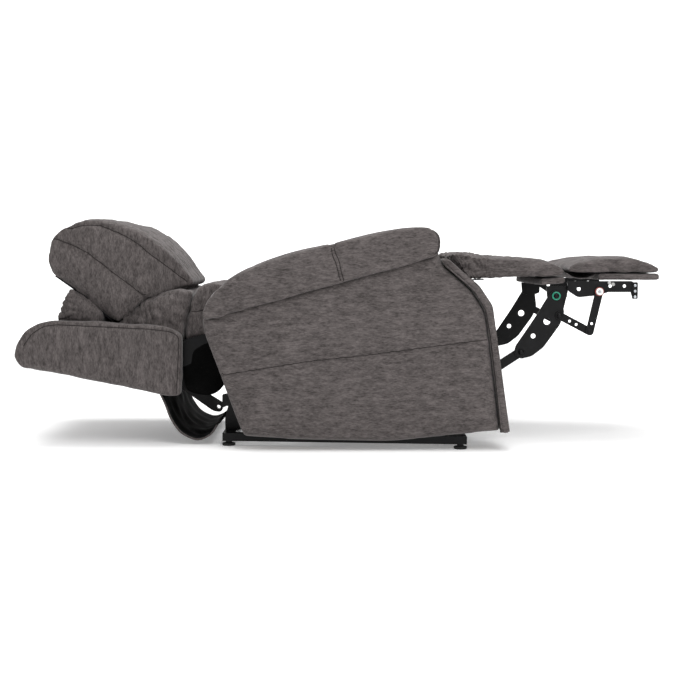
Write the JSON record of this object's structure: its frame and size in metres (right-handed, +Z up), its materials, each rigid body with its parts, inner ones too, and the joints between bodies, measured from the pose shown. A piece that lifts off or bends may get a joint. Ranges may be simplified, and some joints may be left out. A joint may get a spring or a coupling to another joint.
{
  "type": "lift recliner chair",
  "caption": "Power lift recliner shown fully reclined, with padded arms, raised head pillow, extended footrest and a scissor linkage on a tubular floor base.",
  "frame": {"origin": "on the floor, under the middle of the chair's bounding box when fully reclined", "axes": "+X towards the sitter's feet, +Y to the sitter's left, +Z up"},
  "size_m": [1.7966, 0.88, 0.629],
  "materials": {
    "upholstery": "brushed heathered charcoal-grey microfibre",
    "lining": "black woven dust lining",
    "black_steel": "semi-gloss black powder coat",
    "zinc_rod": "zinc-plated tube",
    "housing": "matt black moulded plastic",
    "board": "plywood board wrapped in grey cloth",
    "timber": "raw plywood",
    "foot_rubber": "matt black moulded"
  },
  "bodies": {
    "base": {"base_frame": "black_steel", "foot_front_left": "foot_rubber", "foot_front_right": "foot_rubber", "foot_rear_left": "foot_rubber", "foot_rear_right": "foot_rubber", "lift_motor": "housing"},
    "lift_arm": {"lift_arms": "black_steel"},
    "lift_link": {"lift_link_left": "black_steel", "lift_link_right": "black_steel"},
    "lift_rod_body": {"lift_rod": "zinc_rod"},
    "lift_frame_body": {"lift_frame": "black_steel"},
    "chair": {"arm_side_left": "upholstery", "arm_side_right": "upholstery", "arm_inner_left": "upholstery", "arm_inner_right": "upholstery", "arm_front_left": "upholstery", "arm_front_right": "upholstery", "arm_frame_left": "timber", "arm_frame_right": "timber", "arm_pad_left": "upholstery", "arm_pad_right": "upholstery", "seat_rail_left": "black_steel", "seat_rail_right": "black_steel", "seat_tube_front": "black_steel", "seat_tube_motor": "black_steel", "seat_deck": "board", "control_box": "housing", "seat_cushion": "upholstery", "foot_motor": "housing"},
    "recline_motor_body": {"recline_motor": "housing"},
    "recline_rod_body": {"recline_rod": "zinc_rod"},
    "foot_rod_body": {"foot_rod": "zinc_rod"},
    "backrest": {"back_frame": "black_steel", "back_pad": "upholstery", "back_cover": "upholstery", "back_wing_left": "upholstery", "back_wing_right": "upholstery", "lumbar_cushion": "upholstery", "back_lining": "lining", "back_flap": "upholstery"},
    "headrest": {"head_pillow": "upholstery", "headrest_plate": "black_steel", "headrest_gusset": "upholstery"},
    "foot_arm": {"foot_arm_left": "black_steel", "foot_arm_right": "black_steel", "foot_shaft": "black_steel"},
    "foot_blade": {"foot_blade_left": "black_steel", "foot_blade_right": "black_steel"},
    "ottoman": {"ottoman_bracket_left": "black_steel", "ottoman_bracket_right": "black_steel", "ottoman_board": "board"},
    "footrest": {"footrest_slide_left": "black_steel", "footrest_slide_right": "black_steel", "footrest_board": "board", "footrest_pad": "upholstery", "chaise_pad": "upholstery"},
    "v_lower": {"v_link_lower_left": "black_steel", "v_link_lower_right": "black_steel"},
    "v_upper": {"v_link_upper_left": "black_steel", "v_link_upper_right": "black_steel"}
  },
  "joints": [
    {"name": "lift", "type": "hinge", "parent": "base", "child": "lift_arm", "pos_m": [-0.20655, 0, 0.085], "axis": [0, -1, 0], "range_deg": [0, 32]},
    {"name": "lift_frame_tilt", "type": "hinge", "parent": "lift_arm", "child": "lift_frame_body", "pos_m": [0.28345, 0, 0.075], "axis": [0, 1, 0], "range_deg": [0, 62]},
    {"name": "lift_link_swing", "type": "hinge", "parent": "base", "child": "lift_link", "pos_m": [-0.28355, 0, 0.138], "axis": [0, -1, 0], "range_deg": [0, 30]},
    {"name": "lift_rod_slide", "type": "slide", "parent": "base", "child": "lift_rod_body", "axis": [-0.9037, 0, 0.4281], "range_m": [0, 0.102]},
    {"name": "seat_tilt", "type": "hinge", "parent": "lift_frame_body", "child": "chair", "pos_m": [0.29345, 0, 0.12], "axis": [0, 1, 0], "range_deg": [0, 8]},
    {"name": "recline", "type": "hinge", "parent": "chair", "child": "backrest", "pos_m": [-0.30614, 0, 0.29982], "axis": [0, 1, 0], "range_deg": [0, 54], "deforming": ["back_flap"]},
    {"name": "recline_motor_swing", "type": "hinge", "parent": "chair", "child": "recline_motor_body", "pos_m": [-0.04637, 0, 0.22625], "axis": [0, 1, 0], "range_deg": [0, 22.6]},
    {"name": "recline_rod_slide", "type": "slide", "parent": "recline_motor_body", "child": "recline_rod_body", "axis": [-0.9165, 0, -0.4], "range_m": [0, 0.121]},
    {"name": "headrest_tilt", "type": "hinge", "parent": "backrest", "child": "headrest", "pos_m": [-0.63174, 0, 0.34375], "axis": [0, 1, 0], "range_deg": [-30, 0], "deforming": ["headrest_gusset"]},
    {"name": "footrest_lift", "type": "hinge", "parent": "chair", "child": "foot_arm", "pos_m": [0.30591, 0, 0.29192], "axis": [0, 1, 0], "range_deg": [0, 121.7], "deforming": ["chaise_pad"]},
    {"name": "foot_blade_turn", "type": "hinge", "parent": "foot_arm", "child": "foot_blade", "pos_m": [0.50907, 0, 0.2619], "axis": [0, 1, 0], "range_deg": [-102.2, 0]},
    {"name": "ottoman_turn", "type": "hinge", "parent": "foot_blade", "child": "ottoman", "pos_m": [0.60701, 0, 0.42007], "axis": [0, 1, 0], "range_deg": [0, 62.6]},
    {"name": "footrest_slide_in", "type": "slide", "parent": "ottoman", "child": "footrest", "axis": [-1, 0, 0], "range_m": [0, 0.0701]},
    {"name": "v_lower_turn", "type": "hinge", "parent": "foot_blade", "child": "v_lower", "pos_m": [0.61579, 0, 0.36476], "axis": [0, 1, 0], "range_deg": [0, 59.7]},
    {"name": "v_upper_turn", "type": "hinge", "parent": "footrest", "child": "v_upper", "pos_m": [0.72541, 0, 0.43267], "axis": [0, 1, 0], "range_deg": [-65.2, 0]},
    {"name": "foot_rod_slide", "type": "slide", "parent": "chair", "child": "foot_rod_body", "axis": [0.9992, 0, 0.0411], "range_m": [-0.0786, 0]}
  ],
  "couplings": [
    {"joint": "lift_frame_tilt", "follows": "lift", "ratio": 1.9375},
    {"joint": "lift_link_swing", "follows": "lift", "ratio": 0.93478},
    {"joint": "lift_rod_slide", "follows": "lift", "m_per_rad": 0.18199},
    {"joint": "seat_tilt", "follows": "recline", "ratio": 0.14815},
    {"joint": "recline_motor_swing", "follows": "recline", "ratio": 0.41764},
    {"joint": "recline_rod_slide", "follows": "recline", "m_per_rad": 0.12734},
    {"joint": "foot_blade_turn", "follows": "footrest_lift", "ratio": -0.83977},
    {"joint": "ottoman_turn", "follows": "footrest_lift", "ratio": 0.51356},
    {"joint": "footrest_slide_in", "follows": "footrest_lift", "m_per_rad": 0.032956},
    {"joint": "v_lower_turn", "follows": "footrest_lift", "ratio": 0.48973},
    {"joint": "v_upper_turn", "follows": "footrest_lift", "ratio": -0.53492},
    {"joint": "foot_rod_slide", "follows": "footrest_lift", "m_per_rad": -0.036973}
  ]
}
